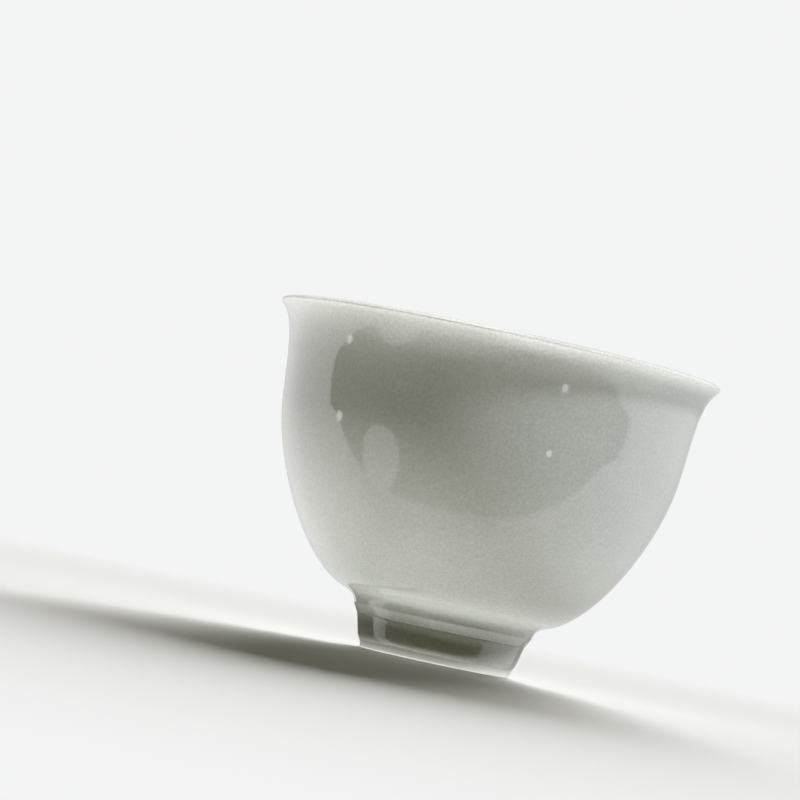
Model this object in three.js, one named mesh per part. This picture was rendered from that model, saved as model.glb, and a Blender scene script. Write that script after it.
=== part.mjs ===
// A footed porcelain tea cup, in millimetres, +Z up, standing on z = 0 with its axis on Z.
// A bell-shaped bowl with a flared lip is luted with slip onto a turned foot ring.
// The outside, the inside and the hollow of the foot each carry their own coat of glaze,
// and the standing edge of the foot is left bare.
// All sizes are those of the unglazed body: each coat adds GLAZE_THICKNESS to the face it covers.
import * as THREE from 'three';

// Rim and lip
const RIM_RADIUS = 34.75;
const CUP_HEIGHT = 50.75;
const LIP_THICKNESS = 0.9;
const LIP_FLARE_ANGLE = 40;

// Flared neck, measured in from the rim and down from it
const LIP_OVERHANG = 3.4;
const FLARE_HEIGHT = 15.55;
const NECK_ANGLE = 84;
const FLARE_LOW_PULL = 7.8;
const FLARE_HIGH_PULL = 3.5;

// Belly and inside of the bowl
const BELLY_BASE_ANGLE = 20;
const BELLY_LOW_PULL = 7.5;
const BELLY_HIGH_PULL = 9.6;
const WALL_THICKNESS = 1.7;
const BASE_THICKNESS = 3.3;
const WELL_PULL = 20.8;
const WALL_PULL = 13.9;

// Turned ledge and cove under the belly, measured from the top of the foot ring
const LEDGE_OVERHANG = 0.9;
const LEDGE_ROUND = 0.3;
const LEDGE_UNDER_ANGLE = 25;
const LEDGE_TOP_ANGLE = 85;
const COVE_WIDTH = 2.35;
const COVE_HEIGHT = 3.24;
const COVE_PULL = 1.2;

// Foot ring: its outer wall widens upwards, its inner wall closes in upwards
const FOOT_RADIUS = 11.8;
const FOOT_HEIGHT = 4.95;
const FOOT_FLARE = 1.15;
const FOOT_WALL = 2.4;
const FOOT_EDGE_ROUND = 0.35;
const RECESS_CLOSING = 0.7;

// Slip between the foot ring and the bowl, and the fillets it is sponged to
const SLIP_THICKNESS = 0.5;
const SLIP_INNER_SPREAD = 0.5;
const SLIP_PULL = 0.3;

// Glaze coats and the bare edge of the foot below them
const GLAZE_THICKNESS = 0.25;
const BARE_EDGE = 1.3;
const RECESS_BARE_EDGE = 1.1;

// Facets round the axis and along each stretch of outline
const ROUND_FACETS = 48;
const FINE_STEPS = 2;
const MEDIUM_STEPS = 4;
const LONG_STEPS = 9;

// Points of an outline hold a radius and a height. Angles are degrees from the outward level.
const at = (radius, height) => new THREE.Vector2(radius, height);

const along = (start, angle, distance) => {
  const radians = THREE.MathUtils.degToRad(angle);
  return at(start.x + distance * Math.cos(radians), start.y + distance * Math.sin(radians));
};

// A curve that leaves start at one heading and reaches end at another.
// Each pull is how far the curve keeps to that end's heading.
const bend = (start, startAngle, startPull, end, endAngle, endPull, steps) => new THREE.CubicBezierCurve(
  start,
  along(start, startAngle, startPull),
  along(end, endAngle, -endPull),
  end,
).getPoints(steps);

// A round stretch about a centre, turning from one heading to another to the left
const roundOff = (centre, radius, startHeading, endHeading, steps) => Array.from(
  { length: steps + 1 },
  (_, i) => along(centre, THREE.MathUtils.lerp(startHeading, endHeading, i / steps) - 90, radius),
);

// Joins stretches into one outline, without repeating the point where two of them meet
const SAME_POINT = 1e-6;
const chain = (...stretches) => stretches.flat().filter(
  (point, i, all) => i === 0 || point.distanceTo(all[i - 1]) > SAME_POINT,
);

// The same outline moved to its right-hand side by a distance: the face of a coat of glaze
const coated = (outline, distance) => outline.map((point, i) => {
  const before = outline[Math.max(i - 1, 0)];
  const after = outline[Math.min(i + 1, outline.length - 1)];
  const heading = after.clone().sub(before);
  if (point.x === 0) heading.y = 0;
  heading.setLength(distance);
  return at(point.x + heading.y, point.y - heading.x);
});

// Foot ring: straight outer and inner walls, given by their radius at each height
const footRadiusAt = (height) => FOOT_RADIUS + FOOT_FLARE * height / FOOT_HEIGHT;
const recessRadiusAt = (height) => FOOT_RADIUS - FOOT_WALL - RECESS_CLOSING * height / FOOT_HEIGHT;
const footWallAngle = THREE.MathUtils.radToDeg(Math.atan2(FOOT_HEIGHT, FOOT_FLARE));
const recessWallAngle = THREE.MathUtils.radToDeg(Math.atan2(-FOOT_HEIGHT, RECESS_CLOSING));
const footTop = at(footRadiusAt(FOOT_HEIGHT), FOOT_HEIGHT);
const recessTop = at(recessRadiusAt(FOOT_HEIGHT), FOOT_HEIGHT);
const glazeLine = at(footRadiusAt(BARE_EDGE), BARE_EDGE);
const recessGlazeLine = at(recessRadiusAt(RECESS_BARE_EDGE), RECESS_BARE_EDGE);

// Turned ledge at the bottom edge of the bowl, on the bowl's seat
const seatHeight = FOOT_HEIGHT + SLIP_THICKNESS;
const ledgeRise = LEDGE_ROUND * Math.cos(THREE.MathUtils.degToRad(LEDGE_UNDER_ANGLE));
const ledgeCentre = at(footTop.x + LEDGE_OVERHANG - LEDGE_ROUND, seatHeight + ledgeRise);
const ledge = roundOff(ledgeCentre, LEDGE_ROUND, LEDGE_UNDER_ANGLE, LEDGE_TOP_ANGLE, FINE_STEPS);
const ledgeEdge = ledge[0];
const ledgeTop = ledge.at(-1);

// Slip fillets: outside from the foot ring to the ledge, inside from the bowl's base to the ring
const slipOuter = bend(footTop, footWallAngle, SLIP_PULL, ledgeEdge, LEDGE_UNDER_ANGLE, SLIP_PULL, FINE_STEPS);
const slipInnerEdge = at(recessTop.x - SLIP_INNER_SPREAD, seatHeight);
const slipInner = bend(slipInnerEdge, 0, SLIP_PULL, recessTop, recessWallAngle, SLIP_PULL, FINE_STEPS);

// Outside of the bowl, from the ledge up through cove, belly and flare to the crest of the lip
const bellyBase = at(footTop.x + LEDGE_OVERHANG + COVE_WIDTH, seatHeight + COVE_HEIGHT);
const neck = at(RIM_RADIUS - LIP_OVERHANG, CUP_HEIGHT - FLARE_HEIGHT);
const lipRound = LIP_THICKNESS / 2;
const lipCentre = at(RIM_RADIUS - lipRound, CUP_HEIGHT - lipRound);
const lipOuter = chain(
  roundOff(lipCentre, lipRound, LIP_FLARE_ANGLE, 90, FINE_STEPS),
  roundOff(lipCentre, lipRound, 90, 180, FINE_STEPS),
);
const lipInner = roundOff(lipCentre, lipRound, 180, 180 + LIP_FLARE_ANGLE, FINE_STEPS);
const bowlOutside = chain(
  ledge,
  bend(ledgeTop, LEDGE_TOP_ANGLE, COVE_PULL, bellyBase, BELLY_BASE_ANGLE, COVE_PULL, MEDIUM_STEPS),
  bend(bellyBase, BELLY_BASE_ANGLE, BELLY_LOW_PULL, neck, NECK_ANGLE, BELLY_HIGH_PULL, LONG_STEPS),
  bend(neck, NECK_ANGLE, FLARE_LOW_PULL, lipOuter[0], LIP_FLARE_ANGLE, FLARE_HIGH_PULL, MEDIUM_STEPS),
  lipOuter,
);

// Inside of the bowl, from the crest of the lip down the wall to the middle of the well
const innerNeck = at(neck.x - WALL_THICKNESS, neck.y);
const wellMiddle = at(0, seatHeight + BASE_THICKNESS);
const bowlInside = chain(
  lipInner,
  bend(
    lipInner.at(-1),
    180 + LIP_FLARE_ANGLE,
    FLARE_HIGH_PULL,
    innerNeck,
    180 + NECK_ANGLE,
    FLARE_LOW_PULL,
    MEDIUM_STEPS,
  ),
  bend(innerNeck, 180 + NECK_ANGLE, WALL_PULL, wellMiddle, 180, WELL_PULL, LONG_STEPS),
);

// Body outlines that each coat covers, running with the side that takes the glaze on their right
const outsideFace = chain([glazeLine, footTop], slipOuter, bowlOutside);
const wholeFace = chain(outsideFace, bowlInside);
const crest = outsideFace.length - 1;
const baseFace = chain([at(0, seatHeight), slipInnerEdge], slipInner, [recessTop, recessGlazeLine]);

// A closed outline turned about Z, its outer side drawn upwards
const revolve = (outline) => new THREE.LatheGeometry(outline, ROUND_FACETS).rotateX(Math.PI / 2);
const closed = (outline) => [...outline, outline[0]];

const bowlShape = () => revolve([at(0, seatHeight), ...bowlOutside, ...bowlInside.slice(1)]);

const footRingShape = () => {
  const outerRound = at(footRadiusAt(FOOT_EDGE_ROUND) - FOOT_EDGE_ROUND, FOOT_EDGE_ROUND);
  const innerRound = at(recessRadiusAt(FOOT_EDGE_ROUND) + FOOT_EDGE_ROUND, FOOT_EDGE_ROUND);
  return revolve(closed(chain(
    roundOff(innerRound, FOOT_EDGE_ROUND, -90, 0, FINE_STEPS),
    roundOff(outerRound, FOOT_EDGE_ROUND, 0, 90, FINE_STEPS),
    [glazeLine, footTop, recessTop, recessGlazeLine],
  )));
};

const slipJointShape = () => revolve(closed([...slipOuter, ...slipInner]));

// Each coat lies between the face of the body and that face moved out by the glaze's thickness
const wholeSurface = coated(wholeFace, GLAZE_THICKNESS);
const baseSurface = coated(baseFace, GLAZE_THICKNESS);

const outerGlazeShape = () => {
  const surface = wholeSurface.slice(0, crest + 1);
  return revolve(closed([...surface, ...outsideFace.toReversed()]));
};

const linerGlazeShape = () => {
  const face = wholeFace.slice(crest);
  return revolve([...face.toReversed(), ...wholeSurface.slice(crest)]);
};

const baseGlazeShape = () => revolve([...baseSurface, ...baseFace.toReversed()]);

// Finishes: bare fired porcelain, fired slip, and the grey-green white of the glaze
const porcelain = () => new THREE.MeshStandardMaterial({ color: 0xf0eee6, roughness: 0.75, metalness: 0 });
const firedSlip = () => new THREE.MeshStandardMaterial({ color: 0xe9e6dc, roughness: 0.85, metalness: 0 });
const glaze = () => new THREE.MeshStandardMaterial({ color: 0xe6e8e1, roughness: 0.08, metalness: 0 });

const piece = (name, geometry, material) => {
  const mesh = new THREE.Mesh(geometry, material);
  mesh.name = name;
  return mesh;
};

const body = new THREE.Group().add(
  piece('bowl', bowlShape(), porcelain()),
  piece('slip_joint', slipJointShape(), firedSlip()),
  piece('foot_ring', footRingShape(), porcelain()),
);

const coats = new THREE.Group().add(
  piece('outer_glaze', outerGlazeShape(), glaze()),
  piece('liner_glaze', linerGlazeShape(), glaze()),
  piece('base_glaze', baseGlazeShape(), glaze()),
);

const cup = new THREE.Group().add(body, coats);

export default cup;
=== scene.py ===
"""Looks of the footed porcelain tea cup: turned body, slip joint and three coats of glaze, in metres."""
import math

import bpy
from mathutils import Matrix, Vector


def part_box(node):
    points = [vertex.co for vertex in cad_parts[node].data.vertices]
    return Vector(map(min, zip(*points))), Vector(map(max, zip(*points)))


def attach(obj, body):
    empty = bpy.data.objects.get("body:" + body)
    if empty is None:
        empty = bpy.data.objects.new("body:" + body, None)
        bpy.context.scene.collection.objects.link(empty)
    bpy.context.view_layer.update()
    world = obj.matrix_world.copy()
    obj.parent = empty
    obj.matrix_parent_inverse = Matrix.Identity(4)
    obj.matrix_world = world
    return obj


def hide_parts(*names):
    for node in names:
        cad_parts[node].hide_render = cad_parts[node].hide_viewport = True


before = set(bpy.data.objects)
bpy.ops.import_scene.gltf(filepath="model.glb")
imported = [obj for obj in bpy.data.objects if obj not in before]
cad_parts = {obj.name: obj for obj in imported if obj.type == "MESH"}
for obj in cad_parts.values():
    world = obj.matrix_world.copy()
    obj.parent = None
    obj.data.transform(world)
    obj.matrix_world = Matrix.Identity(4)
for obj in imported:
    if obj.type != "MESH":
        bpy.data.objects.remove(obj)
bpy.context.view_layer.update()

MM = 0.001

# Sizes of the unglazed body and of its coats that the frame gives
bowl_low, bowl_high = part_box("bowl")
foot_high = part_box("foot_ring")[1]
outer_low, outer_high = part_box("outer_glaze")
base_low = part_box("base_glaze")[0]
RIM_RADIUS = bowl_high.x
CUP_HEIGHT = bowl_high.z
SEAT_HEIGHT = bowl_low.z
FOOT_HEIGHT = foot_high.z
FOOT_TOP_RADIUS = foot_high.x
GLAZE = outer_high.z - bowl_high.z
GLAZE_LINE = outer_low.z
RECESS_GLAZE_LINE = base_low.z

# Sizes that repeat the part's own: lip, flare, belly, wall and well
LIP_THICKNESS = 0.9 * MM
LIP_FLARE_ANGLE = 40
LIP_OVERHANG = 3.4 * MM
FLARE_HEIGHT = 15.55 * MM
NECK_ANGLE = 84
FLARE_LOW_PULL = 7.8 * MM
FLARE_HIGH_PULL = 3.5 * MM
BELLY_BASE_ANGLE = 20
BELLY_LOW_PULL = 7.5 * MM
BELLY_HIGH_PULL = 9.6 * MM
WALL_THICKNESS = 1.7 * MM
BASE_THICKNESS = 3.3 * MM
WELL_PULL = 20.8 * MM
WALL_PULL = 13.9 * MM

# Sizes that repeat the part's own: ledge, cove, foot ring and slip fillets
LEDGE_OVERHANG = 0.9 * MM
LEDGE_UNDER_ANGLE = 25
COVE_WIDTH = 2.35 * MM
FOOT_FLARE = 1.15 * MM
FOOT_WALL = 2.4 * MM
FOOT_EDGE_ROUND = 0.35 * MM
RECESS_CLOSING = 0.7 * MM
SLIP_INNER_SPREAD = 0.5 * MM
SLIP_PULL = 0.3 * MM

# Finer forms than the part's: the edge of the lip, the bevelled face of the ledge and the cove above it
LIP_EDGE_ROUND = 0.12 * MM
LIP_TURN = 130
LEDGE_STEP = 0.15 * MM
LEDGE_EDGE_ROUND = 0.15 * MM
LEDGE_FACE = 1.25 * MM
LEDGE_FACE_ANGLE = 58
LEDGE_TOP_ROUND = 0.5 * MM
LEDGE_TOP_ANGLE = 84
COVE_HEIGHT = 3.5 * MM
COVE_LOW_PULL = 1.6 * MM
COVE_HIGH_PULL = 1.0 * MM

# The fired coat: how bends thin and thicken it, how it pools low down and thins out to its free edge
BEND_SMOOTHING = 0.5 * MM
BEND_EFFECT = 0.35 * MM
THINNEST, THICKEST = 0.7, 1.4
# Thickening low down: partly real pooling, partly painted shade, as thicker glaze is drawn darker
LOW_POOLING_AND_SHADE = 0.18
GLAZE_ROLL = 1.1 * MM

# Unevenness of the glaze line: each wave has its share, its count round the cup and its start
LINE_WAVER = 0.12 * MM
LINE_WAVER_REACH = 1.2 * MM
LINE_WAVES = ((0.5, 3, 1.0), (0.3, 5, 0.4), (0.2, 11, 0))

# Unevenness of the walls: each wave also has its twist up the cup
OUT_OF_ROUND = 0.035 * MM
WARP_WAVES = ((0.55, 2, 0.6, 1), (0.25, 3, 2.1, -4), (0.2, 7, 0, 5))

# Facets round the axis and steps along each stretch of outline
ROUND_FACETS = 256
FINE_STEPS = 8
MEDIUM_STEPS = 24
LONG_STEPS = 64

# The sharpest bend that is shaded smooth, and distances that count as none
SHARP_ANGLE = 50
SAME_POINT = 1e-9
ON_AXIS = 1e-7


# Points of an outline hold a radius and a height. Angles are degrees from the outward level.
def at(radius, height):
    return Vector((radius, height))


def along(start, angle, distance):
    turn = math.radians(angle)
    return start + distance * at(math.cos(turn), math.sin(turn))


def line(start, end, steps):
    return [start.lerp(end, i / steps) for i in range(steps + 1)]


def bend(start, start_angle, start_pull, end, end_angle, end_pull, steps):
    """A curve that leaves start at one heading and reaches end at another."""
    first = along(start, start_angle, start_pull)
    second = along(end, end_angle, -end_pull)
    points = []
    for i in range(steps + 1):
        t = i / steps
        s = 1 - t
        points.append(s**3 * start + 3 * s * s * t * first + 3 * s * t * t * second + t**3 * end)
    return points


def round_off(centre, radius, start_heading, end_heading, steps):
    """A round stretch about a centre, turning to the left from one heading to another."""
    span = end_heading - start_heading
    return [along(centre, start_heading + span * i / steps - 90, radius) for i in range(steps + 1)]


def chain(*stretches):
    """One outline from stretches that meet end to end."""
    points = []
    for stretch in stretches:
        for point in stretch:
            if not points or (point - points[-1]).length > SAME_POINT:
                points.append(point)
    return points


# Foot ring: straight walls, given by their radius at each height
def foot_radius(height):
    return FOOT_TOP_RADIUS - FOOT_FLARE * (1 - height / FOOT_HEIGHT)


def recess_radius(height):
    return FOOT_TOP_RADIUS - FOOT_FLARE - FOOT_WALL - RECESS_CLOSING * height / FOOT_HEIGHT


foot_wall_angle = math.degrees(math.atan2(FOOT_HEIGHT, FOOT_FLARE))
recess_wall_angle = math.degrees(math.atan2(-FOOT_HEIGHT, RECESS_CLOSING))
foot_top = at(FOOT_TOP_RADIUS, FOOT_HEIGHT)
recess_top = at(recess_radius(FOOT_HEIGHT), FOOT_HEIGHT)
glaze_line = at(foot_radius(GLAZE_LINE), GLAZE_LINE)
recess_glaze_line = at(recess_radius(RECESS_GLAZE_LINE), RECESS_GLAZE_LINE)
foot_outer_round = at(foot_radius(FOOT_EDGE_ROUND) - FOOT_EDGE_ROUND, FOOT_EDGE_ROUND)
foot_inner_round = at(recess_radius(FOOT_EDGE_ROUND) + FOOT_EDGE_ROUND, FOOT_EDGE_ROUND)

# Ledge: a small edge above the slip, a bevelled face and a rounded top
ledge_corner = at(FOOT_TOP_RADIUS + LEDGE_STEP, SEAT_HEIGHT)
ledge_edge_centre = along(ledge_corner, LEDGE_UNDER_ANGLE + 90, LEDGE_EDGE_ROUND)
ledge_edge = round_off(ledge_edge_centre, LEDGE_EDGE_ROUND,
                       LEDGE_UNDER_ANGLE, LEDGE_FACE_ANGLE, FINE_STEPS)
ledge_face = line(ledge_edge[-1], along(ledge_edge[-1], LEDGE_FACE_ANGLE, LEDGE_FACE), FINE_STEPS)
ledge_top_centre = along(ledge_face[-1], LEDGE_FACE_ANGLE + 90, LEDGE_TOP_ROUND)
ledge_top = round_off(ledge_top_centre, LEDGE_TOP_ROUND,
                      LEDGE_FACE_ANGLE, LEDGE_TOP_ANGLE, FINE_STEPS)
ledge = chain(ledge_edge, ledge_face, ledge_top)

# Slip fillets: outside from the foot ring to the ledge, inside from the bowl's base to the ring
slip_outer = bend(foot_top, foot_wall_angle, SLIP_PULL,
                  ledge[0], LEDGE_UNDER_ANGLE, SLIP_PULL, FINE_STEPS)
slip_inner_edge = at(recess_top.x - SLIP_INNER_SPREAD, SEAT_HEIGHT)
slip_inner = bend(slip_inner_edge, 0, SLIP_PULL,
                  recess_top, recess_wall_angle, SLIP_PULL, FINE_STEPS)

# Lip: a small round at its outer edge and a larger one over its crest
lip_crown = LIP_THICKNESS - LIP_EDGE_ROUND
lip_edge_centre = at(RIM_RADIUS - LIP_EDGE_ROUND, CUP_HEIGHT - lip_crown)
lip_edge_centre.y += (lip_crown - LIP_EDGE_ROUND) * math.cos(math.radians(180 - LIP_TURN))
lip_centre = along(lip_edge_centre, LIP_TURN + 90, lip_crown - LIP_EDGE_ROUND)
lip_outer = chain(
    round_off(lip_edge_centre, LIP_EDGE_ROUND, LIP_FLARE_ANGLE, LIP_TURN, FINE_STEPS),
    round_off(lip_centre, lip_crown, LIP_TURN, 180, FINE_STEPS),
)
lip_inner = round_off(lip_centre, lip_crown, 180, 180 + LIP_FLARE_ANGLE, FINE_STEPS)

# Outside of the bowl, up through cove, belly and flare to the crest of the lip
belly_base = at(FOOT_TOP_RADIUS + LEDGE_OVERHANG + COVE_WIDTH, SEAT_HEIGHT + COVE_HEIGHT)
neck = at(RIM_RADIUS - LIP_OVERHANG, CUP_HEIGHT - FLARE_HEIGHT)
bowl_outside = chain(
    ledge,
    bend(ledge[-1], LEDGE_TOP_ANGLE, COVE_LOW_PULL,
         belly_base, BELLY_BASE_ANGLE, COVE_HIGH_PULL, MEDIUM_STEPS),
    bend(belly_base, BELLY_BASE_ANGLE, BELLY_LOW_PULL,
         neck, NECK_ANGLE, BELLY_HIGH_PULL, LONG_STEPS),
    bend(neck, NECK_ANGLE, FLARE_LOW_PULL,
         lip_outer[0], LIP_FLARE_ANGLE, FLARE_HIGH_PULL, MEDIUM_STEPS),
    lip_outer,
)

# Inside of the bowl, from the crest of the lip down to the middle of the well
inner_neck = at(neck.x - WALL_THICKNESS, neck.y)
well_middle = at(0, SEAT_HEIGHT + BASE_THICKNESS)
bowl_inside = chain(
    lip_inner,
    bend(lip_inner[-1], 180 + LIP_FLARE_ANGLE, FLARE_HIGH_PULL,
         inner_neck, 180 + NECK_ANGLE, FLARE_LOW_PULL, MEDIUM_STEPS),
    bend(inner_neck, 180 + NECK_ANGLE, WALL_PULL,
         well_middle, 180, WELL_PULL, LONG_STEPS),
)

# Faces that the coats cover, running with the side that takes the glaze on their right
roll_top = glaze_line.lerp(foot_top, GLAZE_ROLL / (foot_top - glaze_line).length)
recess_glazed_wall = (recess_top - recess_glaze_line).length
recess_roll_top = recess_glaze_line.lerp(recess_top, GLAZE_ROLL / recess_glazed_wall)
outside_face = chain(
    line(glaze_line, roll_top, MEDIUM_STEPS),
    line(roll_top, foot_top, FINE_STEPS),
    slip_outer,
    bowl_outside,
)
whole_face = chain(outside_face, bowl_inside)
crest = len(outside_face) - 1
base_face = chain(
    line(at(0, SEAT_HEIGHT), slip_inner_edge, MEDIUM_STEPS),
    slip_inner,
    line(recess_top, recess_roll_top, FINE_STEPS),
    line(recess_roll_top, recess_glaze_line, MEDIUM_STEPS),
)


def coat_shares(outline, rolled_start=False, rolled_end=False):
    """Thickness of a coat along an outline, as shares of the even coat.

    A fired glaze draws off sharp outer bends, gathers in hollows and low down,
    and thins out to its free edge. Its gathering low down is partly real pooling and
    partly painted shade: the thicker glaze there is drawn darker.
    """
    lengths = [0.0]
    for start, end in zip(outline, outline[1:]):
        lengths.append(lengths[-1] + (end - start).length)
    bends = [0.0]
    for before, here, after in zip(outline, outline[1:], outline[2:]):
        bends.append(-(here - before).angle_signed(after - here))
    bends.append(0.0)
    shares = []
    for place, point in zip(lengths, outline):
        weights = [math.exp(-((place - other) / BEND_SMOOTHING) ** 2) for other in lengths]
        bend_here = sum(w * b for w, b in zip(weights, bends)) / (BEND_SMOOTHING * math.sqrt(math.pi))
        # Thicker low down: partly real pooling, partly painted shade on the lower cup
        run = LOW_POOLING_AND_SHADE * (1 - point.y / CUP_HEIGHT)
        share = min(max(1 - BEND_EFFECT * bend_here + run, THINNEST), THICKEST)
        for rolled, distance in ((rolled_start, place), (rolled_end, lengths[-1] - place)):
            if rolled:
                t = min(distance / GLAZE_ROLL, 1)
                share *= t * (2 - t)
        shares.append(share)
    return shares


def coated(outline, shares):
    """The outline moved to its right: the surface of a coat of glaze."""
    surface = []
    for i, point in enumerate(outline):
        heading = outline[min(i + 1, len(outline) - 1)] - outline[max(i - 1, 0)]
        if point.x == 0:
            heading.y = 0
        heading.normalize()
        surface.append(point + GLAZE * shares[i] * at(heading.y, -heading.x))
    return surface


whole_shares = coat_shares(whole_face, rolled_start=True)
base_shares = coat_shares(base_face, rolled_end=True)
whole_surface = coated(whole_face, whole_shares)
base_surface = coated(base_face, base_shares)
outer_shares = whole_shares[:crest + 1]
liner_shares = whole_shares[crest:]


def out_of_round(turn, height):
    """How far a wall stands inside the true circle: the slight warp of a thrown and fired cup."""
    rise = height / CUP_HEIGHT
    warp = sum(share * math.sin(count * turn + start + twist * rise)
               for share, count, start, twist in WARP_WAVES)
    return OUT_OF_ROUND * rise * (warp - 1)


def waver(turn, height):
    """How far the free edge of the coat strays along the foot at this turn."""
    stray = sum(share * math.sin(count * turn + start) for share, count, start in LINE_WAVES)
    fade = max(0, 1 - height / LINE_WAVER_REACH)
    return LINE_WAVER * stray * fade * fade


def placed(name, data):
    """An object that holds a mesh, lamp or camera, linked into the scene."""
    holder = bpy.data.objects.new(name, data)
    bpy.context.scene.collection.objects.link(holder)
    return holder


def turned(point, free_edge):
    """The ring of places that a point of an outline passes on its turn about Z."""
    places = []
    for k in range(ROUND_FACETS):
        turn = 2 * math.pi * k / ROUND_FACETS
        radius = point.x + out_of_round(turn, point.y)
        height = point.y
        if free_edge is not None:
            height += waver(turn, point.y - free_edge)
        places.append((radius * math.cos(turn), radius * math.sin(turn), height))
    return places


def facets(rings, closed):
    """Faces from each ring to the next, with triangles where a ring is one point on the axis."""
    pairs = list(zip(rings, rings[1:]))
    if closed:
        pairs.append((rings[-1], rings[0]))
    faces = []
    for low, high in pairs:
        for k in range(ROUND_FACETS):
            n = (k + 1) % ROUND_FACETS
            corners = list(dict.fromkeys((low[k], low[n], high[n], high[k])))
            if len(corners) > 2:
                faces.append(corners)
    return faces


def mark_depth(mesh, rings, shares):
    """Gives each vertex of a coat its depth of glaze: 0 at THINNEST and 1 at THICKEST."""
    depth = mesh.attributes.new("glaze_depth", "FLOAT", "POINT")
    for ring, share in zip(rings, shares):
        for v in ring:
            depth.data[v].value = (share - THINNEST) / (THICKEST - THINNEST)


def revolve(name, outline, closed, free_edge=None, shares=None):
    """An outline, its outer side drawn upwards, turned about Z into a mesh object."""
    verts = []
    rings = []
    for point in outline:
        if point.x < ON_AXIS:
            rings.append([len(verts)] * ROUND_FACETS)
            verts.append((0, 0, point.y))
        else:
            rings.append(list(range(len(verts), len(verts) + ROUND_FACETS)))
            verts += turned(point, free_edge)
    faces = facets(rings, closed)
    mesh = bpy.data.meshes.new(name)
    mesh.from_pydata(verts, [], faces)
    mesh.polygons.foreach_set("use_smooth", [True] * len(faces))
    mesh.set_sharp_from_angle(angle=math.radians(SHARP_ANGLE))
    if shares:
        mark_depth(mesh, rings, shares)
    mesh.update()
    return placed(name, mesh)


# Pieces of the body
bowl = revolve("bowl_body", chain([at(0, SEAT_HEIGHT)], bowl_outside, bowl_inside), closed=False)
slip = revolve("luting_slip", chain(slip_outer, slip_inner), closed=True)
foot = revolve("turned_foot", chain(
    round_off(foot_inner_round, FOOT_EDGE_ROUND, -90, 0, FINE_STEPS),
    round_off(foot_outer_round, FOOT_EDGE_ROUND, 0, 90, FINE_STEPS),
    line(glaze_line, foot_top, FINE_STEPS),
    line(recess_top, recess_glaze_line, FINE_STEPS),
), closed=True)

# Coats of glaze, each between the face that it covers and its own surface
outer = revolve("glaze_outside", whole_surface[:crest + 1] + outside_face[::-1], closed=True,
                free_edge=GLAZE_LINE, shares=outer_shares + outer_shares[::-1])
liner = revolve("glaze_inside", whole_face[crest:][::-1] + whole_surface[crest:], closed=False,
                shares=liner_shares[::-1] + liner_shares)
base = revolve("glaze_base", base_surface + base_face[::-1], closed=False,
               free_edge=RECESS_GLAZE_LINE, shares=base_shares + base_shares[::-1])

# Glaze: its colours by depth, its gloss, and the sizes and strengths of its clouds, bubbles and skin
GLAZE_THIN = (0.82, 0.825, 0.79)
GLAZE_EVEN = (0.762, 0.78, 0.747)
GLAZE_THICK = (0.66, 0.695, 0.65)
GLAZE_IOR = 1.6
GLAZE_ROUGHNESS = (0.05, 0.075)
CLOUD_SIZE, CLOUD_DEPTH = 9 * MM, 0.12
BUBBLE_SIZE, BUBBLE_TINT = 0.4 * MM, 0.075
PEEL_SIZE, PEEL_HEIGHT = 0.9 * MM, 0.0025 * MM
WAVE_SIZE, WAVE_HEIGHT = 6 * MM, 0.015 * MM

# Bare clay: its colours, its gloss, and the sizes and strengths of its grit, stains and turning rings
PORCELAIN_COLOUR = (0.82, 0.818, 0.80)
PORCELAIN_GRIT_SIZE, PORCELAIN_GRIT_HEIGHT = 0.18 * MM, 0.012 * MM
SLIP_COLOUR = (0.80, 0.785, 0.74)
SLIP_GRIT_SIZE, SLIP_GRIT_HEIGHT = 0.3 * MM, 0.02 * MM
BARE_IOR = 1.5
BARE_ROUGHNESS = (0.7, 0.85)
GRIT_TINT = 0.05
STAIN_SIZE, STAIN_TINT = 3 * MM, 0.03
RING_SCALE, RING_WOBBLE, RING_HEIGHT = 600.0, 1.5, 0.004 * MM

# Most of a noise texture's values lie between these
NOISE_LOW, NOISE_HIGH = 0.3, 0.7


def new_material(name):
    """A material with nodes, and its node tree."""
    material = bpy.data.materials.new(name)
    material.use_nodes = True
    return material, material.node_tree


def add(tree, kind, inputs, **settings):
    """A node with its inputs set to values or linked to other nodes' outputs."""
    node = tree.nodes.new("ShaderNode" + kind)
    for name, value in settings.items():
        setattr(node, name, value)
    for name, value in inputs.items():
        if isinstance(value, bpy.types.NodeSocket):
            tree.links.new(value, node.inputs[name])
        else:
            node.inputs[name].default_value = value
    return node


def choose(tree, factor, off, on):
    """One shader where the factor is 0, and another where it is 1."""
    return add(tree, "MixShader", {0: factor, 1: off, 2: on}).outputs["Shader"]


def show(tree, shader):
    """Makes a shader the surface of its material."""
    tree.links.new(shader, tree.nodes["Material Output"].inputs["Surface"])


def grain(tree, place, size, detail=2.0):
    """Even noise whose blotches are about this size across."""
    return add(tree, "TexNoise", {"Vector": place, "Scale": 1 / size, "Detail": detail}).outputs["Fac"]


def math_node(tree, operation, first, second):
    return add(tree, "Math", {0: first, 1: second}, operation=operation).outputs[0]


def spread(tree, value, low, high):
    """A noise value stretched to run from low to high."""
    return add(tree, "MapRange", {"Value": value, "From Min": NOISE_LOW, "From Max": NOISE_HIGH,
                                  "To Min": low, "To Max": high}).outputs["Result"]


def about_one(tree, value, reach):
    """A noise value stretched to run as far below 1 as above it."""
    return spread(tree, value, 1 - reach, 1 + reach)


def tinted(tree, colour, brightness):
    """A colour made lighter and darker by a brightness about 1."""
    return add(tree, "VectorMath", {0: colour, 1: brightness}, operation="MULTIPLY").outputs["Vector"]


def relief(tree, *layers):
    """A bump from layers of noise, each with its height in metres."""
    total = 0.0
    for value, height in layers:
        total = math_node(tree, "ADD", math_node(tree, "MULTIPLY", value, height), total)
    return add(tree, "Bump", {"Height": total, "Distance": 1.0}).outputs["Normal"]


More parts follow.
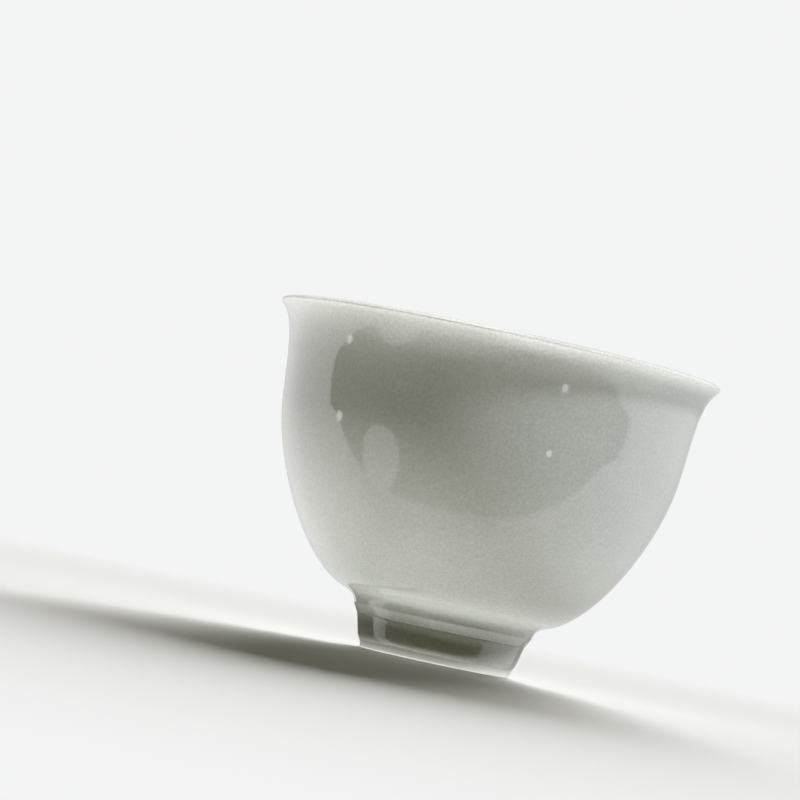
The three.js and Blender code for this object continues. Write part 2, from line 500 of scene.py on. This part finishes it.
def glaze_look():
    """Pale grey-green glaze: clearer where thin, greener in hollows, darker low down as partly painted
    shade, with an orange-peel skin.
    """
    material, tree = new_material("porcelain_glaze")
    shader = tree.nodes["Principled BSDF"]
    place = add(tree, "TexCoord", {}).outputs["Object"]
    bubbles = grain(tree, place, BUBBLE_SIZE, detail=1.0)
    clouds = grain(tree, place, CLOUD_SIZE)
    peel = grain(tree, place, PEEL_SIZE)
    waves = grain(tree, place, WAVE_SIZE, detail=1.0)
    depth = add(tree, "Attribute", {}, attribute_name="glaze_depth").outputs["Fac"]
    uneven = math_node(tree, "ADD", depth, spread(tree, clouds, -CLOUD_DEPTH, CLOUD_DEPTH))
    ramp = add(tree, "ValToRGB", {"Fac": uneven})
    stops = ramp.color_ramp.elements
    stops[0].color = (*GLAZE_THIN, 1)
    stops[1].color = (*GLAZE_THICK, 1)
    stops.new((1 - THINNEST) / (THICKEST - THINNEST)).color = (*GLAZE_EVEN, 1)
    colour = tinted(tree, ramp.outputs["Color"], about_one(tree, bubbles, BUBBLE_TINT))
    tree.links.new(colour, shader.inputs["Base Color"])
    tree.links.new(spread(tree, clouds, *GLAZE_ROUGHNESS), shader.inputs["Roughness"])
    shader.inputs["IOR"].default_value = GLAZE_IOR
    tree.links.new(relief(tree, (peel, PEEL_HEIGHT), (waves, WAVE_HEIGHT)), shader.inputs["Normal"])
    return material


def bare_look(name, colour, grit_size, grit_height):
    """Unglazed clay: matt, chalky and finely gritty, with rings left by turning."""
    material, tree = new_material(name)
    shader = tree.nodes["Principled BSDF"]
    place = add(tree, "TexCoord", {}).outputs["Object"]
    grit = grain(tree, place, grit_size)
    stains = grain(tree, place, STAIN_SIZE)
    rings = add(tree, "TexWave", {"Vector": place, "Scale": RING_SCALE, "Distortion": RING_WOBBLE},
                wave_type="BANDS", bands_direction="Z").outputs["Fac"]
    specks = about_one(tree, grit, GRIT_TINT)
    shade = math_node(tree, "MULTIPLY", specks, about_one(tree, stains, STAIN_TINT))
    tree.links.new(tinted(tree, colour, shade), shader.inputs["Base Color"])
    tree.links.new(spread(tree, grit, *BARE_ROUGHNESS), shader.inputs["Roughness"])
    shader.inputs["IOR"].default_value = BARE_IOR
    tree.links.new(relief(tree, (grit, grit_height), (rings, RING_HEIGHT)), shader.inputs["Normal"])
    return material


glaze = glaze_look()
porcelain = bare_look("bare_porcelain", PORCELAIN_COLOUR, PORCELAIN_GRIT_SIZE, PORCELAIN_GRIT_HEIGHT)
luting = bare_look("slip", SLIP_COLOUR, SLIP_GRIT_SIZE, SLIP_GRIT_HEIGHT)

for piece, node, slot, look in (
    (bowl, "bowl", "porcelain", porcelain),
    (slip, "slip_joint", "slip", luting),
    (foot, "foot_ring", "porcelain", porcelain),
    (outer, "outer_glaze", "glaze", glaze),
    (liner, "liner_glaze", "glaze", glaze),
    (base, "base_glaze", "glaze", glaze),
):
    piece.data.materials.append(look)
    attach(piece, "root")
    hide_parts(node)

# Stage: colours, far and near distances, and the low screens round the foot
WHITE = (1, 1, 1)
WHITE_SURROUND = (0.90, 0.905, 0.905)
UNDER_FOOT_COLOUR = (1, 0.99, 0.95)
LIP_GLOW_COLOUR = (1, 0.995, 0.98)
SCREEN_COLOUR = (1, 0.98, 0.9)
SCREEN_RADIUS = 17 * MM
SCREEN_BOTTOM, SCREEN_TOP = -8 * MM, 6 * MM
CARD_DISTANCE = 3.0
LAMP_DISTANCE = 1.0
DISC_SIDES = 48


# Directions are degrees: round from the camera's side to its right, and up from the level
def towards(azimuth, elevation):
    turn = math.radians(azimuth)
    rise = math.radians(elevation)
    return Vector((math.sin(turn) * math.cos(rise), -math.cos(turn) * math.cos(rise), math.sin(rise)))


def emitter(name, colour, strength):
    """A surface that shines evenly and takes no light."""
    material, tree = new_material(name)
    show(tree, add(tree, "Emission", {"Color": (*colour, 1), "Strength": strength}).outputs["Emission"])
    return material


def upward_glow(name, strength):
    """A surface that shines from its upper face only."""
    material = emitter(name, LIP_GLOW_COLOUR, strength)
    tree = material.node_tree
    below = add(tree, "NewGeometry", {}).outputs["Backfacing"]
    clear = add(tree, "BsdfTransparent", {}).outputs["BSDF"]
    show(tree, choose(tree, below, tree.nodes["Emission"].outputs["Emission"], clear))
    return material


def veil(name, clearness):
    """A surface that only dims the light through it."""
    material, tree = new_material(name)
    grey = (clearness, clearness, clearness, 1)
    show(tree, add(tree, "BsdfTransparent", {"Color": grey}).outputs["BSDF"])
    return material


def stage_mesh(name, verts, faces, material):
    """A mesh object that belongs to the stage."""
    mesh = bpy.data.meshes.new(name)
    mesh.from_pydata(verts, [], faces)
    mesh.materials.append(material)
    card = placed(name, mesh)
    return card


def off_stage(card, in_gloss=False, in_bounce=False, in_shadow=False):
    """Leaves a card out of the picture, and says which kinds of light it takes part in."""
    card.visible_camera = False
    card.visible_glossy = in_gloss
    card.visible_diffuse = in_bounce
    card.visible_shadow = in_shadow


def round_card(name, azimuth, elevation, reach, distance, colour, strength):
    """A disc in a given direction, with its reach from middle to edge in degrees."""
    middle = towards(azimuth, elevation)
    side = middle.orthogonal().normalized()
    angle = math.radians(reach)
    verts = [middle * distance]
    faces = []
    for k in range(DISC_SIDES):
        around = Matrix.Rotation(2 * math.pi * k / DISC_SIDES, 3, middle) @ side
        verts.append((middle * math.cos(angle) + around * math.sin(angle)) * distance)
        faces.append((0, 1 + k, 1 + (k + 1) % DISC_SIDES))
    return stage_mesh(name, verts, faces, emitter(name, colour, strength))


def curtain(name, edges, colour, strength):
    """A far curved screen, given by azimuths with the elevations of its lower and upper edge."""
    count = len(edges)
    verts = [towards(azimuth, low) * CARD_DISTANCE for azimuth, low, _ in edges]
    verts += [towards(azimuth, high) * CARD_DISTANCE for azimuth, _, high in edges]
    faces = [(i, i + 1, i + 1 + count, i + count) for i in range(count - 1)]
    return stage_mesh(name, verts, faces, emitter(name, colour, strength))


def strip(name, start, end, edges, material):
    """A strip round the axis between two azimuths, with the radius and height of both its edges."""
    turns = [start + (end - start) * k / DISC_SIDES for k in range(DISC_SIDES + 1)]
    verts = []
    for radius, height in edges:
        verts += [towards(turn, 0) * radius + Vector((0, 0, height)) for turn in turns]
    count = len(turns)
    faces = [(i, i + count, i + 1 + count, i + 1) for i in range(count - 1)]
    return stage_mesh(name, verts, faces, material)


def near_screen(name, start, end, strength):
    """A low curved screen round the foot, as the shaded floor there shows in its glaze."""
    edges = ((SCREEN_RADIUS, SCREEN_BOTTOM), (SCREEN_RADIUS, SCREEN_TOP))
    return strip(name, start, end, edges, emitter(name, SCREEN_COLOUR, strength))


def floor_disc(name, radius, shift, drop, strength):
    """A round patch of floor under the foot, as bounced light on the cup meets it."""
    middle = Vector((shift, 0, -drop))
    verts = [middle + towards(360 * k / DISC_SIDES, 0) * radius for k in range(DISC_SIDES)]
    face = tuple(range(DISC_SIDES))
    return stage_mesh(name, verts, [face], emitter(name, UNDER_FOOT_COLOUR, strength))


def beyond_lip(outward, upward):
    """The radius and height of a place given in millimetres from the body's lip."""
    return RIM_RADIUS + outward * MM, CUP_HEIGHT + upward * MM


# The floor: lit, with the shadow, near the cup, and fading into the white surroundings further off
FLOOR_COLOUR = (0.8, 0.8, 0.795)
FLOOR_ROUGHNESS = 0.9
FLOOR_REACH = 4.0
FADE_FROM, FADE_TO = 0.15, 0.45


def floor_look():
    material, tree = new_material("floor")
    shader = tree.nodes["Principled BSDF"]
    shader.inputs["Base Color"].default_value = (*FLOOR_COLOUR, 1)
    shader.inputs["Roughness"].default_value = FLOOR_ROUGHNESS
    shader.inputs["Specular IOR Level"].default_value = 0.0
    place = add(tree, "NewGeometry", {}).outputs["Position"]
    distance = add(tree, "VectorMath", {0: place}, operation="LENGTH").outputs["Value"]
    fade = add(tree, "MapRange", {"Value": distance, "From Min": FADE_FROM, "From Max": FADE_TO},
               interpolation_type="SMOOTHSTEP").outputs["Result"]
    seen_directly = add(tree, "LightPath", {}).outputs["Is Camera Ray"]
    white = add(tree, "Emission", {"Color": (*WHITE_SURROUND, 1)}).outputs["Emission"]
    faded = math_node(tree, "MULTIPLY", fade, seen_directly)
    show(tree, choose(tree, faded, shader.outputs["BSDF"], white))
    return material


floor_corners = [(x * FLOOR_REACH, y * FLOOR_REACH, 0) for x, y in ((-1, -1), (1, -1), (1, 1), (-1, 1))]
floor = stage_mesh("floor", floor_corners, [(0, 1, 2, 3)], floor_look())
floor.visible_shadow = False
floor.visible_diffuse = False
floor.visible_glossy = False

# Far curtains: each place along one has an azimuth and the elevations of its lower and upper edge
FLAG_EDGES = (
    (-99, -3, -1), (-97, -5, 2), (-92, -8, 6), (-88, -14, 9), (-84, -20, 11), (-79, -26.5, 12),
    (-69, -34, 12), (-58, -38.5, 12), (-47, -41.5, 12), (-23, -45, 12), (2, -46, 12), (16, -45, 12),
    (33, -42, 12), (50, -35, 12), (63, -26, 11), (70, -18, 9), (74, -9, 7), (85, -4, 2),
)
LIP_CARD_EDGES = ((-20, 12, 80), (20, 12, 80), (60, 12, 80), (100, 12, 80))

# The flag darkens the front of the cup, and its lower edge draws the edge of the dark reflection
front_flag = curtain("front_flag", FLAG_EDGES, colour=(1, 0.93, 0.15), strength=0.06)
off_stage(front_flag, in_gloss=True, in_bounce=True)

# Light that the floor would send up
floor_bounce = round_card("floor_bounce", azimuth=-80, elevation=-83, reach=20, distance=CARD_DISTANCE,
                          colour=(1, 1, 0.985), strength=8.8)
off_stage(floor_bounce, in_bounce=True)

# Two lamps and a panel that show in the glaze, and a card that whitens the gloss of the lip
right_lamp = round_card("right_lamp", azimuth=39, elevation=-10, reach=1.9, distance=LAMP_DISTANCE,
                        colour=WHITE, strength=4.0)
off_stage(right_lamp, in_gloss=True)
left_lamp = round_card("left_lamp", azimuth=-88.5, elevation=-8.5, reach=2.2, distance=LAMP_DISTANCE,
                       colour=WHITE, strength=4.0)
off_stage(left_lamp, in_gloss=True)
pale_panel = round_card("pale_panel", azimuth=-60, elevation=-24, reach=12, distance=LAMP_DISTANCE,
                        colour=(1, 1, 0.95), strength=1.1)
off_stage(pale_panel, in_gloss=True)
lip_card = curtain("lip_card", LIP_CARD_EDGES, colour=WHITE, strength=1.4)
off_stage(lip_card, in_gloss=True)

# The shaded floor round the foot, as screens that show in the glaze
off_stage(near_screen("left_screen", start=-69, end=-180, strength=0.16), in_gloss=True)
off_stage(near_screen("front_screen", start=-50, end=-20, strength=0.08), in_gloss=True)
off_stage(near_screen("right_screen", start=97, end=180, strength=0.55), in_gloss=True)

# The same floor for bounced light: a glowing patch, a dark one round it and a veil further out
foot_glow = floor_disc("foot_glow", radius=13.2 * MM, shift=0, drop=0.05 * MM, strength=1.05)
off_stage(foot_glow, in_bounce=True, in_shadow=True)
foot_shade = floor_disc("foot_shade", radius=14.25 * MM, shift=-0.8 * MM, drop=0.1 * MM, strength=0.04)
off_stage(foot_shade, in_bounce=True, in_shadow=True)
VEIL_INNER, VEIL_OUTER, VEIL_HEIGHT = 16.6 * MM, 25 * MM, -0.1 * MM
floor_shade = strip("floor_shade", start=0, end=360,
                    edges=((VEIL_INNER, VEIL_HEIGHT), (VEIL_OUTER, VEIL_HEIGHT)),
                    material=veil("floor_shade", clearness=0.74))
off_stage(floor_shade, in_bounce=True, in_shadow=True)

# The light that a thin porcelain lip lets through from the inside, given as glows close to it
left_lip_glow = strip("left_lip_glow", start=-30, end=55,
                      edges=(beyond_lip(1.5, -6), beyond_lip(8, -6)),
                      material=upward_glow("left_lip_glow", strength=0.4))
off_stage(left_lip_glow, in_bounce=True)
right_lip_glow = strip("right_lip_glow", start=0, end=140,
                       edges=(beyond_lip(0.8, -2.4), beyond_lip(4, -2.4)),
                       material=upward_glow("right_lip_glow", strength=0.9))
off_stage(right_lip_glow, in_bounce=True)
rim_glow = strip("rim_glow", start=-74, end=4,
                 edges=(beyond_lip(5, 1), beyond_lip(5, 5)),
                 material=emitter("rim_glow", colour=(1, 0.985, 0.93), strength=1.3))
off_stage(rim_glow, in_bounce=True)
edge_glow = strip("edge_glow", start=-60, end=130,
                  edges=(beyond_lip(1.3, -0.75), beyond_lip(1.3, 0)),
                  material=emitter("edge_glow", colour=(1, 0.99, 0.96), strength=0.6))
off_stage(edge_glow, in_bounce=True)

# A veil that dims the key on the wall just below the edge of the lip
lip_veil = strip("lip_veil", start=-20, end=150,
                 edges=(beyond_lip(0.1, -0.7), beyond_lip(1.9, -0.7)),
                 material=veil("lip_veil", clearness=0.5))
off_stage(lip_veil, in_shadow=True)

# Camera: a long lens, level with the low belly of the cup and rolled so that the cup leans
PHOTO_PIXELS = 800
RIM_PIXELS = 449
GLAZED_RIM = 70 * MM
LEAN = 12.0
CAMERA_DISTANCE_PIXELS = 3865
CAMERA_HEIGHT_PIXELS = 86.8
AIM_PIXELS = (-87.5, 249.2)
SENSOR_WIDTH = 36
CLIP_NEAR, CLIP_FAR = 0.01, 20

# Lengths in the photograph's pixels, scaled so that the glazed rim spans its own count of them
pixel = GLAZED_RIM / RIM_PIXELS
eye = Vector((0, -CAMERA_DISTANCE_PIXELS, CAMERA_HEIGHT_PIXELS)) * pixel
aim = Vector((AIM_PIXELS[0], 0, AIM_PIXELS[1])) * pixel
forward = (aim - eye).normalized()
level = forward.cross(Vector((0, 0, 1))).normalized()
upright = level.cross(forward)
lean = math.radians(LEAN)
right = level * math.cos(lean) + upright * math.sin(lean)
up = upright * math.cos(lean) - level * math.sin(lean)
lens = bpy.data.cameras.new("camera")
lens.sensor_width = SENSOR_WIDTH
lens.lens = SENSOR_WIDTH * CAMERA_DISTANCE_PIXELS / PHOTO_PIXELS
lens.clip_start = CLIP_NEAR
lens.clip_end = CLIP_FAR
camera = placed("camera", lens)
camera.matrix_world = Matrix.Translation(eye) @ Matrix((right, up, -forward)).transposed().to_4x4()
bpy.context.scene.camera = camera

# Surroundings: white to the camera, dim to matt surfaces, and brighter at both sides in reflections
AMBIENT = (0.066, 0.065, 0.046)
GLOSS_SURROUND = 0.8
LEFT_GLOW, LEFT_GLOW_AZIMUTH = 1.0, -118
RIGHT_GLOW, RIGHT_GLOW_AZIMUTH = 0.7, 105
GLOW_EDGE = 58


def background(tree, colour, strength=1.0):
    return add(tree, "Background", {"Color": (*colour, 1), "Strength": strength}).outputs["Background"]


def side_glow(tree, azimuth, strength):
    """A soft brightening of the reflected surroundings about one level direction."""
    direction = add(tree, "TexCoord", {}).outputs["Generated"]
    nearness = add(tree, "VectorMath", {0: direction, 1: towards(azimuth, 0)},
                   operation="DOT_PRODUCT").outputs["Value"]
    edge = math.cos(math.radians(GLOW_EDGE))
    return add(tree, "MapRange", {"Value": nearness, "From Min": edge, "To Max": strength},
               interpolation_type="SMOOTHSTEP").outputs["Result"]


def studio():
    """The surroundings as a world."""
    world = bpy.data.worlds.new("studio")
    world.use_nodes = True
    tree = world.node_tree
    ray = add(tree, "LightPath", {})
    left = side_glow(tree, LEFT_GLOW_AZIMUTH, LEFT_GLOW)
    sides = math_node(tree, "ADD", left, side_glow(tree, RIGHT_GLOW_AZIMUTH, RIGHT_GLOW))
    reflected = background(tree, WHITE_SURROUND, math_node(tree, "ADD", sides, GLOSS_SURROUND))
    lit = choose(tree, ray.outputs["Is Glossy Ray"], background(tree, AMBIENT), reflected)
    seen = choose(tree, ray.outputs["Is Camera Ray"], lit, background(tree, WHITE_SURROUND))
    tree.links.new(seen, tree.nodes["World Output"].inputs["Surface"])
    return world


bpy.context.scene.world = studio()


# Lamps: a key from the right and soft light from above and behind for the cup, and two for the floor
def soft_sun(name, azimuth, elevation, strength, spread_angle, colour=WHITE):
    """A far lamp with soft edges, its spread in degrees."""
    lamp = bpy.data.lights.new(name, "SUN")
    lamp.energy = strength
    lamp.angle = math.radians(spread_angle)
    lamp.color = colour
    holder = placed(name, lamp)
    holder.rotation_euler = towards(azimuth, elevation).to_track_quat("Z", "Y").to_euler()
    return holder


def on_floor(lamp, state):
    """Keeps a lamp's light to the floor, or off it."""
    linked = bpy.data.collections.new(lamp.name + "_floor")
    linked.objects.link(floor)
    linked.collection_objects[0].light_linking.link_state = state
    lamp.light_linking.receiver_collection = linked


key = soft_sun("key", azimuth=66, elevation=48, strength=2.6, spread_angle=10,
               colour=(0.962, 1.0, 1.035))
overhead = soft_sun("overhead", azimuth=20, elevation=86, strength=0.4, spread_angle=50)
back_fill = soft_sun("back_fill", azimuth=180, elevation=22, strength=0.9, spread_angle=50)
back_fill.visible_glossy = False
for lamp in (key, overhead, back_fill):
    on_floor(lamp, "EXCLUDE")
floor_light = soft_sun("floor_light", azimuth=174, elevation=14, strength=11.8, spread_angle=20)
floor_fill = soft_sun("floor_fill", azimuth=0, elevation=90, strength=0.22, spread_angle=60,
                      colour=(1.0, 0.94, 0.8))
for lamp in (floor_light, floor_fill):
    on_floor(lamp, "INCLUDE")

bpy.context.scene.view_settings.view_transform = "Standard"
